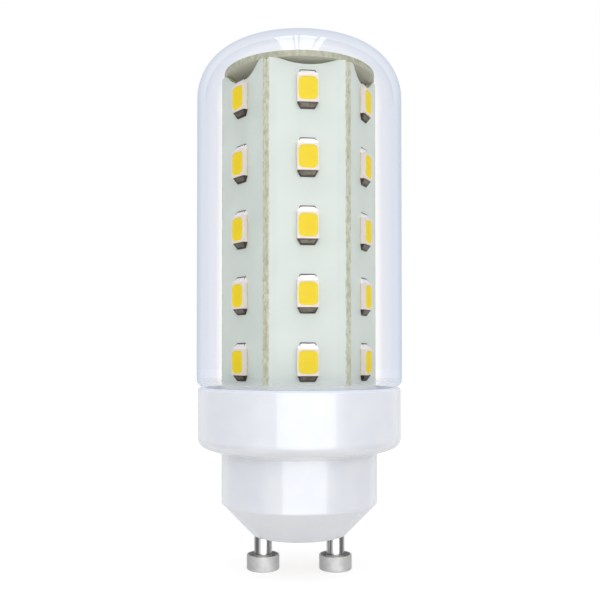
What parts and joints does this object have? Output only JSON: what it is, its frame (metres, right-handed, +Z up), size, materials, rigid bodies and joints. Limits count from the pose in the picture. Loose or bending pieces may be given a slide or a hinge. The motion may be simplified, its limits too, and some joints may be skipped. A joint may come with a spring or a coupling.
{
  "type": "led spotlight bulb",
  "caption": "Tubular clear domed lamp with a six-sided column of led boards, a white collar and a two-pin twist-lock base.",
  "frame": {"origin": "on the lamp's axis, at the flat ends of the two contact pins", "axes": "+Z up along the lamp from the pins to the dome, +X from one contact pin to the other"},
  "size_m": [0.0283, 0.0282, 0.0731],
  "materials": {
    "clear_plastic": "clear moulded, glossy",
    "white_housing": "white moulded, glossy",
    "white_base": "white moulded, glossy",
    "nickel_pin": "bright nickel plate",
    "board_laminate": "white mask on glass laminate",
    "driver_laminate": "pale glass laminate",
    "black_moulding": "black epoxy",
    "capacitor_sleeve": "shrink sleeve",
    "film_case": "dipped case",
    "ferrite": "ferrite and winding",
    "resistor_lacquer": "lacquer",
    "wire_brown": "wire insulation",
    "wire_blue": "wire insulation",
    "wire_red": "wire insulation",
    "wire_black": "wire insulation",
    "emitter_package": "cream white moulding",
    "phosphor": "phosphor-filled silicone",
    "solder": "tin solder"
  },
  "bodies": {
    "root": {"clear_cover": "clear_plastic", "collar_housing": "white_housing", "base_cap": "white_base", "contact_pin_left": "nickel_pin", "contact_pin_right": "nickel_pin", "top_disc": "board_laminate", "carrier_ring": "board_laminate", "driver_board": "driver_laminate", "bridge_rectifier": "black_moulding", "driver_chip": "black_moulding", "smoothing_capacitor": "capacitor_sleeve", "film_capacitor": "film_case", "inductor": "ferrite", "fusible_resistor": "resistor_lacquer", "live_wire": "wire_brown", "neutral_wire": "wire_blue", "led_positive_wire": "wire_red", "led_negative_wire": "wire_black", "led_board_1": "board_laminate", "led_packages_1": "emitter_package", "led_phosphors_1": "phosphor", "led_solder_1": "solder", "led_board_2": "board_laminate", "led_packages_2": "emitter_package", "led_phosphors_2": "phosphor", "led_solder_2": "solder", "led_board_3": "board_laminate", "led_packages_3": "emitter_package", "led_phosphors_3": "phosphor", "led_solder_3": "solder", "led_board_4": "board_laminate", "led_packages_4": "emitter_package", "led_phosphors_4": "phosphor", "led_solder_4": "solder", "led_board_5": "board_laminate", "led_packages_5": "emitter_package", "led_phosphors_5": "phosphor", "led_solder_5": "solder", "led_board_6": "board_laminate", "led_packages_6": "emitter_package", "led_phosphors_6": "phosphor", "led_solder_6": "solder"}
  },
  "joints": []
}
